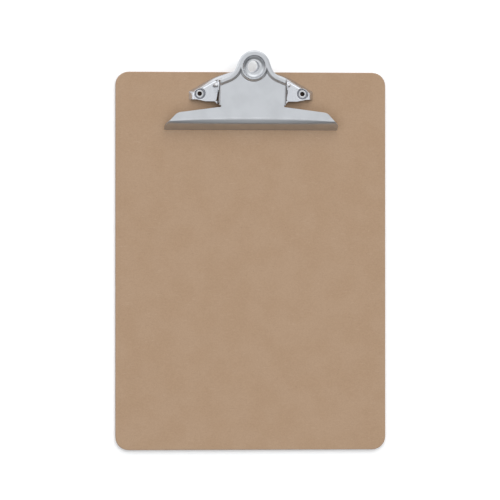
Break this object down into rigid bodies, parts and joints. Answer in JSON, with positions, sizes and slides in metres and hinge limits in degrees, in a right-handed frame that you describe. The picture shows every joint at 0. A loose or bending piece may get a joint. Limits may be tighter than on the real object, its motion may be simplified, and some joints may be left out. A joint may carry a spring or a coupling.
{
  "type": "lever clipboard",
  "caption": "Letter-size hardboard clipboard with a wide sprung steel lever clip, its jaw, hanging tongue, hinge pin and rivets.",
  "frame": {"origin": "centre of the board's back face", "axes": "+Z out of the front of the board, +Y along the board towards the clip, X across the board"},
  "size_m": [0.2286, 0.335, 0.0283],
  "materials": {
    "hardboard": "smooth pressed brown hardboard",
    "bright_plate": "bright nickel plate",
    "satin_plate": "satin nickel plate",
    "pin_steel": "plated steel wire",
    "spring_steel": "plated spring wire",
    "rivet_steel": "plated steel"
  },
  "bodies": {
    "board_and_base": {"board": "hardboard", "clip_base": "bright_plate", "hinge_pin": "pin_steel", "torsion_spring_left": "spring_steel", "torsion_spring_right": "spring_steel", "rivet_left": "rivet_steel", "rivet_right": "rivet_steel"},
    "lever": {"clip_lever": "satin_plate"}
  },
  "joints": [
    {"name": "lever_hinge", "type": "hinge", "parent": "board_and_base", "child": "lever", "pos_m": [0, 0.1476, 0.0134], "axis": [-1, 0, 0], "range_deg": [0, 35], "stiffness_Nm_per_rad": 1, "springref_deg": -40.11, "deforming": ["torsion_spring_left", "torsion_spring_right"]}
  ]
}
